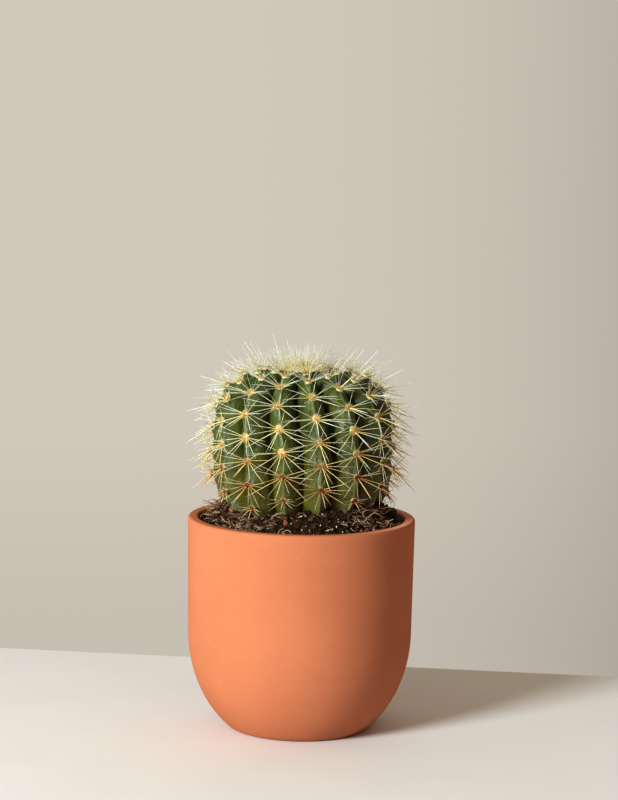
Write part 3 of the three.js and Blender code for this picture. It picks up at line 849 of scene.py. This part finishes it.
def make_perlite():
    place = soil_places(PERLITE, from_wall=1.2)
    front = draw.uniform(0, 1, PERLITE) < PERLITE_FRONT
    front_angle = draw.normal(PERLITE_FRONT_ANGLE, PERLITE_FRONT_SPREAD, PERLITE)
    angle = np.where(front, front_angle, np.arctan2(place[:, 0], -place[:, 1]))
    place = around(np.hypot(place[:, 0], place[:, 1]), angle, 0.0)
    size = draw.uniform(*PERLITE_RADII, (PERLITE, 1)) * draw.uniform(0.75, 1.2, (PERLITE, 3))
    place[:, 2] = soil_height(place[:, 0], place[:, 1]) + 0.7 + size.mean(axis=1) * 0.3
    make_lumps("perlite_beads", place, size, 2, 0.12, perlite())


make_perlite()

# Bark: flat broken chips, from nearly black to rust. Four big ones are listed, each a place
# with its height above the rim, three half sizes and a shade. Three of them lie at the right.
BARK_CHIPS = 150
BARK_HALF_SIZES = (0.7, 1.9)
BARK_SHAPES = ((0.8, 0.5, 0.2), (1.3, 0.9, 0.35))
BIG_CHIPS = ((50.5, -9.0, 4.2, 3.0, 2.2, 2.7, 0), (53.0, -11.0, -0.2, 2.6, 1.6, 1.4, 0),
             (38.0, -34.8, 2.2, 3.2, 1.6, 1.8, 0), (-8.5, -47.8, 4.2, 1.7, 1.2, 0.8, 1))


def bark():
    chip = Finish("bark", 0.85, 0.25)
    shade = chip.attribute("shade")
    chip.base = chip.ramp(shade, (0.0, (0.022, 0.024, 0.018)), (0.4, (0.055, 0.032, 0.021)),
                          (0.75, (0.18, 0.070, 0.034)), (1.0, (0.36, 0.145, 0.060)))
    streaks = chip.patches(1.0, 0.35, 0.65, 3, (1, 1, 0.25))
    chip.lay(streaks, 0.35, (0.12, 0.080, 0.055))
    return chip.made((streaks, 0.25))


def make_bark():
    place = soil_places(BARK_CHIPS, from_wall=2.2, from_stem=0.5)
    size = draw.uniform(*BARK_HALF_SIZES, (BARK_CHIPS, 1)) * draw.uniform(*BARK_SHAPES, (BARK_CHIPS, 3))
    place[:, 2] += 0.5 + size[:, 2]
    big = np.array(BIG_CHIPS)
    place = np.vstack([place, big[:, :3] + [0, 0, POT_HEIGHT]])
    size = np.vstack([size, big[:, 3:6]])
    shade = np.concatenate([draw.uniform(0.2, 1, BARK_CHIPS), big[:, 6]])
    chips = make_lumps("bark_chips", place, size, 2, 0.22, bark(), shade)
    chips.data.polygons.foreach_set("use_smooth", np.zeros(len(chips.data.polygons), bool))


make_bark()

# Areoles: an oval cushion of felt on the crest under each spine cluster, ringed with short wool.
# The old ones low down are smaller and worn dark in the middle.
AREOLE_NUMBERS = range(-12, 101)
AREOLE_ABOVE_SOIL = 3.5
PAD_HALF_WIDTH = 2.5
PAD_HALF_HEIGHT = 2.7
PAD_RISE = 1.5
PAD_SINK = 0.4
PAD_SMALLEST = 0.75
PAD_COLUMNS = 16
PAD_ROWS = 8
PAD_OLD_SMALLER = 0.3
PAD_YOUNG_SMALLER = 0.15
OLD_ABOVE_RIM = (12, 72)
WOOL_HAIRS = 120
WOOL_LENGTHS = (0.7, 1.9)
WOOL_RADII = (0.05, 0.10)
WOOL_SIDES = 3
WOOL_TAPER = np.array([1.0, 0.8, 0.3])


def scatter(n, k):
    """A repeatable value from 0 to 1 for the areole n and the draw k."""
    wave = math.sin(n * 12.9898 + k * 78.233) * 43758.5453
    return wave - math.floor(wave)


def areole_places():
    """Every areole clear of the soil: its number, centre, side, up and outward directions, and age."""
    number = np.array(AREOLE_NUMBERS)
    turn = number / RIBS
    along = areole_along(turn)
    angle = FIRST_RIB + np.mod(SPIRAL_STEP * np.mod(number, RIBS), RIBS) * RIB_TURN + rib_lean(along)
    radius, z, out_radius, out_z = crest_at(along)
    out = around(out_radius, angle, out_z)
    side = np.column_stack([np.cos(angle), np.sin(angle), 0 * angle])
    raised = smoothstep(z, *RIB_ROUNDS_OUT) * TUBERCLE_RISE + 0.1
    centre = around(radius, angle, z) + out * raised[:, None]
    clear = centre[:, 2] > soil_height(centre[:, 0], centre[:, 1]) + AREOLE_ABOVE_SOIL
    old = 1 - smoothstep(z, *(POT_HEIGHT + height for height in OLD_ABOVE_RIM))
    found = {"number": number, "centre": centre, "side": side, "up": np.cross(out, side), "out": out,
             "young": youth_at(turn), "old": old}
    return {key: value[clear] for key, value in found.items()}


areoles = areole_places()
pad_size = np.array([scatter(number, 21) for number in areoles["number"]])
pad_size = PAD_SMALLEST + (1 - PAD_SMALLEST) * pad_size
pad_size = pad_size * (1 - PAD_OLD_SMALLER * areoles["old"] ** 2)
pad_size = pad_size * (1 - PAD_YOUNG_SMALLER * areoles["young"])


def place_local(index, local):
    """Points given across, up and out of their areoles, in the plant's frame."""
    centre, side, up, out = (areoles[key][index][:, None] for key in ("centre", "side", "up", "out"))
    return centre + local[..., 0:1] * side + local[..., 1:2] * up + local[..., 2:3] * out


def felt():
    pad = Finish("areole_felt", 0.95, 0.1)
    rim = pad.attribute("rim")
    fresh = pad.ramp(rim, (0.0, (0.58, 0.28, 0.09)), (0.3, (0.68, 0.42, 0.16)),
                     (0.55, (0.82, 0.70, 0.38)), (1.0, (0.86, 0.80, 0.54)))
    worn = pad.ramp(rim, (0.0, (0.060, 0.018, 0.012)), (0.45, (0.20, 0.070, 0.032)),
                    (0.75, (0.50, 0.31, 0.17)), (1.0, (0.74, 0.60, 0.42)))
    pad.base = pad.mix(pad.range(pad.attribute("old"), 0.50, 0.82), fresh, worn)
    pad.lay(pad.patches(0.7, 0.4, 0.65, 3), 0.30, (0.52, 0.24, 0.08))
    return pad.made((pad.patches(0.4, 0, 1, 3), 0.35))


def make_pads(material):
    ball = bmesh.new()
    bmesh.ops.create_uvsphere(ball, u_segments=PAD_COLUMNS, v_segments=PAD_ROWS, radius=1)
    bmesh.ops.scale(ball, vec=(PAD_HALF_WIDTH, PAD_HALF_HEIGHT, PAD_RISE), verts=ball.verts)
    shape, faces = small_shape(ball)
    count = len(pad_size)
    local = shape[None] * pad_size[:, None, None] * draw.uniform(0.94, 1.06, (count, len(shape), 1))
    local[..., 2] -= PAD_SINK
    points = place_local(np.arange(count), local)
    from_middle = np.hypot(shape[:, 0] / PAD_HALF_WIDTH, shape[:, 1] / PAD_HALF_HEIGHT)
    rim = np.where(shape[:, 2] < 0, 1, from_middle)
    fit_copies("areole_pads", faces, points, material, "cactus",
               {"rim": rim, "old": areoles["old"][:, None]})


def make_wool(material):
    """Short wool that stands out all round each pad, palest at its tips."""
    index = np.repeat(np.arange(len(pad_size)), WOOL_HAIRS)
    total = len(index)
    turn = draw.uniform(0, math.tau, total)
    start = draw.uniform(0.35, 0.98, total)
    reach = draw.uniform(*WOOL_LENGTHS, total) * (1 - 0.35 * areoles["old"][index])
    flat = np.column_stack([np.cos(turn) * PAD_HALF_WIDTH, np.sin(turn) * PAD_HALF_HEIGHT])
    outward = unit(flat)
    root = np.column_stack([flat * start[:, None], np.sqrt(1 - start ** 2) * PAD_RISE - PAD_SINK])
    root = root * pad_size[index][:, None]
    lean = draw.uniform(0.35, 1.0, total)
    sway = draw.normal(0, 0.22, (total, 2))
    local = np.empty((total, len(WOOL_TAPER), 3))
    steps = np.linspace(0, 1, len(WOOL_TAPER))
    for ring, step in enumerate(steps):
        bent = outward * (lean * step)[:, None] + sway * step ** 2
        local[:, ring, :2] = root[:, :2] + bent * reach[:, None]
        local[:, ring, 2] = root[:, 2] + reach * step * (1.1 - 0.6 * lean - 0.5 * step * lean)
    radii = draw.uniform(*WOOL_RADII, (total, 1)) * WOOL_TAPER
    rim = np.minimum(start[:, None] * 0.6 + 0.55 * steps[None], 1)
    strands("areole_wool", place_local(index, local), radii, WOOL_SIDES, material, "cactus",
            {"rim": rim, "old": areoles["old"][index][:, None]})


felt_material = felt()
make_pads(felt_material)
make_wool(felt_material)

# Spines: stiff, nearly straight and round. Those of one areole grow round its pad, and one thick
# one out of its middle. Each row is one or a mirrored pair: tilt from the outward direction,
# heading from up towards the side, length and radius. The young areoles have six finer ones too.
SPINES = (
    (32, 179, 17.0, 0.32, False),
    (62, 121, 20.0, 0.25, True),
    (70, 103, 18.5, 0.20, True),
    (72, 87, 18.0, 0.20, True),
    (68, 68, 16.5, 0.19, True),
    (58, 150, 13.0, 0.19, True),
    (60, 14, 9.0, 0.15, False),
)
YOUNG_SPINES = (
    (30, 15, 14.5, 0.11),
    (38, 75, 14.5, 0.10),
    (36, 130, 13.0, 0.10),
    (34, 200, 13.0, 0.10),
    (40, 255, 14.5, 0.10),
    (38, 310, 14.5, 0.10),
)
YOUNG_SPINES_FROM = 0.08
SPINE_SIDES = 5
SPINE_STEPS = np.array([0.0, 0.06, 0.16, 0.40, 0.66, 0.88, 1.0])
SPINE_TAPER = np.array([1.35, 1.15, 1.0, 0.92, 0.76, 0.45, 0.05])
SPINE_NEEDS = ("centre", "side", "up", "out", "young", "old")
CENTRAL_ROOT = (0.5, 0.8)
RADIAL_ROOT = (1.75, 0.2)
YOUNG_LIFT_DEGREES = 12
YOUNG_THINNER = 0.35
YOUNG_SHORTER = 0.3
STRAY_DEGREES = 9
STRAY_LENGTH = 0.2
SPINE_REACH = 66.6
SPINE_TOP = 221.4
SPINE_CLEARANCE = 0.5
CLEARANCE_SHARES = (0.35, 0.7, 1)
SPINE_BOW = 0.02
SPINE_SIDE_BOW = 0.05
CROWN_KEEP_OUT = 12
OLD_SHORTER = 0.25
OLD_SHORTER_FROM = 0.85
LOWEST_END = (POT_HEIGHT + 14, POT_HEIGHT + 26)
LOWEST_SHORTER = 0.48
LOWEST_SPINES = 8
LOWEST_SPINES_BELOW = 0.3


def cluster(young):
    rows = []
    for tilt, heading, length, radius, paired in SPINES:
        rows.append((tilt, heading, length, radius))
        if paired:
            rows.append((tilt, -heading, length, radius))
    if young > YOUNG_SPINES_FROM:
        rows.extend(YOUNG_SPINES)
    return rows


def ground_height(x, y):
    inside = np.hypot(x, y) <= POT_RADIUS - POT_WALL - 1
    return float(np.where(inside, soil_height(x, y), POT_HEIGHT))


def clear_tip(root, tip):
    """Keeps a tip inside the plant's reach, off the crown's middle and clear of the soil and rim."""
    reach = math.hypot(tip[0], tip[1])
    tip[:2] *= min(max(reach, CROWN_KEEP_OUT), SPINE_REACH) / reach
    tip[2] = min(tip[2], SPINE_TOP)
    for share in CLEARANCE_SHARES:
        at = root + (tip - root) * share
        short = ground_height(at[0], at[1]) + SPINE_CLEARANCE - at[2]
        if short > 0:
            tip[2] += short / share
    return tip


def spine_finish():
    spine = Finish("spine", 0.45, 0.4)
    length = spine.attribute("length")
    pale = spine.ramp(length, (0.0, (0.70, 0.42, 0.13)), (0.10, (0.75, 0.63, 0.29)),
                      (0.32, (0.80, 0.78, 0.50)), (1.0, (0.85, 0.85, 0.67)))
    gold = spine.ramp(length, (0.0, (0.48, 0.20, 0.065)), (0.14, (0.66, 0.43, 0.18)),
                      (0.5, (0.75, 0.62, 0.34)), (1.0, (0.79, 0.71, 0.47)))
    brown = spine.ramp(length, (0.0, (0.20, 0.070, 0.040)), (0.25, (0.52, 0.30, 0.15)),
                       (0.7, (0.56, 0.37, 0.22)), (1.0, (0.36, 0.26, 0.22)))
    shade = spine.range(spine.attribute("shade"), 0, 1, -0.2, 0.2)
    tone = spine.math("ADD", spine.attribute("old"), shade)
    base = spine.mix(spine.range(tone, 0.15, 0.60), pale, gold)
    spine.base = spine.mix(spine.range(tone, 0.60, 1.0), base, brown)
    spine.surface["Subsurface Weight"].default_value = 1.0
    spine.surface["Subsurface Radius"].default_value = (1.0, 0.8, 0.5)
    spine.surface["Subsurface Scale"].default_value = 1.5 * MM
    return spine.made((spine.patches(0.5, 0, 1), 0.02))


def make_spines(material):
    paths, radii, old, shade = [], [], [], []
    t = SPINE_STEPS[:, None]
    for index, number in enumerate(areoles["number"]):
        centre, side, up, out, young, age = (areoles[key][index] for key in SPINE_NEEDS)
        axes = np.stack([side, up, out])
        rows = cluster(young)
        grown_up = smoothstep(centre[2], *LOWEST_END)
        aged = 1 - OLD_SHORTER * smoothstep(age, OLD_SHORTER_FROM, 1.0)
        aged = aged * (1 - LOWEST_SHORTER * (1 - grown_up))
        if grown_up < LOWEST_SPINES_BELOW:
            rows = rows[:LOWEST_SPINES]
        for k, (tilt, heading, length, radius) in enumerate(rows):
            stray = scatter(number, k) - 0.5
            turn = scatter(number, k + 40) - 0.5
            grown = 1 + STRAY_LENGTH * (2 * scatter(number, k + 80) - 1)
            shorter = 1 if k == 0 else 1 - YOUNG_SHORTER * young
            lift = YOUNG_LIFT_DEGREES * young * math.sin(math.radians(tilt))
            lean = math.radians(tilt - lift + 2 * STRAY_DEGREES * stray)
            head = math.radians(heading + 2 * STRAY_DEGREES * turn)
            heading_out = np.array([math.sin(head), math.cos(head)])
            foot, height = CENTRAL_ROOT if k == 0 else RADIAL_ROOT
            direction = np.array([*(heading_out * math.sin(lean)), math.cos(lean)]) @ axes
            root = centre + np.array([*(heading_out * (foot * pad_size[index])), height]) @ axes
            tip = clear_tip(root, root + direction * length * grown * shorter * aged)
            bow = (out * SPINE_BOW + turn * SPINE_SIDE_BOW * side) * length
            middle = (root + tip) / 2 + 2 * bow * math.sin(lean)
            paths.append(root * (1 - t) ** 2 + middle * 2 * t * (1 - t) + tip * t ** 2)
            thickness = radius * (1 - YOUNG_THINNER * young) * (0.85 + 0.3 * scatter(number, k + 120))
            radii.append(thickness * SPINE_TAPER)
            old.append([age])
            shade.append([scatter(number, k + 160)])
    strands("spines", np.array(paths), np.array(radii), SPINE_SIDES, material, "cactus",
            {"length": SPINE_STEPS[None], "old": old, "shade": shade})


spine_material = spine_finish()
make_spines(spine_material)

# Crown: a low cushion of pale yellow wool over the growing tip, ragged at its edge, with fine
# young spines standing up and outwards in it.
CROWN_RADIUS = 14.0
CROWN_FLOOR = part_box("crown_wool")[0].z / MM
CROWN_HEIGHT = 3.2
CROWN_COLUMNS = 60
CROWN_ROWS = 28
CROWN_RAGGED = 0.12
CROWN_CUT = 0.001
CROWN_HAIRS = 2200
CROWN_HAIR_LENGTHS = (0.6, 1.7)
CROWN_HAIR_RADII = (0.06, 0.11)
CROWN_HAIR_TAPER = np.array([1, 1, 0.8, 0.6, 0.3])
CROWN_SPINES = 230
CROWN_SPINE_LENGTHS = (7.0, 15.5)
CROWN_SPINE_RADII = (0.08, 0.14)


def crown_wool():
    tuft = Finish("crown_wool", 0.95, 0.1)
    tuft.base = tuft.mix(tuft.patches(2.4, 0.35, 0.65, 3), (0.82, 0.66, 0.22), (0.88, 0.78, 0.42))
    tuft.lay(tuft.patches(4.0, 0.60, 0.68), 0.6, (0.80, 0.50, 0.20))
    return tuft.made((tuft.patches(0.6, 0, 1, 3), 0.5))


def crown_height(share):
    return CROWN_FLOOR + CROWN_HEIGHT * np.sqrt(np.maximum(0, 1 - share ** 2))


def make_cushion(material):
    dome = bmesh.new()
    bmesh.ops.create_uvsphere(dome, u_segments=CROWN_COLUMNS, v_segments=CROWN_ROWS, radius=1)
    cut = bmesh.ops.bisect_plane(dome, geom=[*dome.verts, *dome.edges, *dome.faces],
                                 plane_co=(0, 0, CROWN_CUT), plane_no=(0, 0, 1), clear_inner=True)
    rim = [part for part in cut["geom_cut"] if isinstance(part, bmesh.types.BMEdge)]
    bmesh.ops.holes_fill(dome, edges=rim)
    bmesh.ops.recalc_face_normals(dome, faces=dome.faces)
    points, faces = small_shape(dome)
    points = points * [CROWN_RADIUS, CROWN_RADIUS, CROWN_HEIGHT]
    points[:, :2] *= 1 + CROWN_RAGGED * rough(unit(points * [1, 1, 0.01]), 0.3)[:, None]
    points[:, 2] += CROWN_FLOOR + (1.3 * rough(points, 3.2) - 0.6) * (points[:, 2] > 0.5)
    fit_copies("crown_cushion", faces, points[None], material, "crown_wool")


def make_fleece(material):
    share = np.sqrt(draw.uniform(0, 1, CROWN_HAIRS))
    angle = draw.uniform(0, math.tau, CROWN_HAIRS)
    spread = 1 + draw.uniform(0, 0.3, CROWN_HAIRS) * share ** 2
    root = around(share * CROWN_RADIUS * spread, angle, crown_height(share) - 0.3)
    lean = unit(around(share * 0.9, angle, 1.0) + draw.normal(0, 0.45, (CROWN_HAIRS, 3)))
    curl = draw.normal(0, 0.5, (CROWN_HAIRS, 3))
    length = draw.uniform(*CROWN_HAIR_LENGTHS, (CROWN_HAIRS, 1))
    steps = np.linspace(0, 1, len(CROWN_HAIR_TAPER))
    paths = np.stack([root + (lean * t + curl * t * t) * length for t in steps], axis=1)
    paths[..., 2] = np.maximum(paths[..., 2], CROWN_FLOOR - 0.5)
    radii = draw.uniform(*CROWN_HAIR_RADII, (CROWN_HAIRS, 1)) * CROWN_HAIR_TAPER
    strands("crown_fleece", paths, radii, WOOL_SIDES, material, "crown_wool", {})


def make_crown_spines(material):
    share = np.sqrt(draw.uniform(0, 1, CROWN_SPINES))
    angle = draw.uniform(0, math.tau, CROWN_SPINES)
    root = around(share * CROWN_RADIUS, angle, crown_height(share) - 0.5)
    lean = unit(around(share * 1.1, angle, 1.0) + draw.normal(0, 0.16, (CROWN_SPINES, 3)))
    tip = root + lean * draw.uniform(*CROWN_SPINE_LENGTHS, (CROWN_SPINES, 1))
    tip[:, 2] = np.minimum(tip[:, 2], SPINE_TOP)
    t = SPINE_STEPS[None, :, None]
    bow = draw.normal(0, 0.5, (CROWN_SPINES, 1, 3)) * t * (1 - t)
    paths = root[:, None] * (1 - t) + tip[:, None] * t + bow
    radii = draw.uniform(*CROWN_SPINE_RADII, (CROWN_SPINES, 1)) * SPINE_TAPER
    shade = draw.uniform(0, 0.6, (CROWN_SPINES, 1))
    strands("crown_spines", paths, radii, SPINE_SIDES, material, "crown_wool",
            {"length": 0.3 + 0.7 * SPINE_STEPS[None], "old": 0, "shade": shade})


wool_material = crown_wool()
make_cushion(wool_material)
make_fleece(wool_material)
make_crown_spines(spine_material)
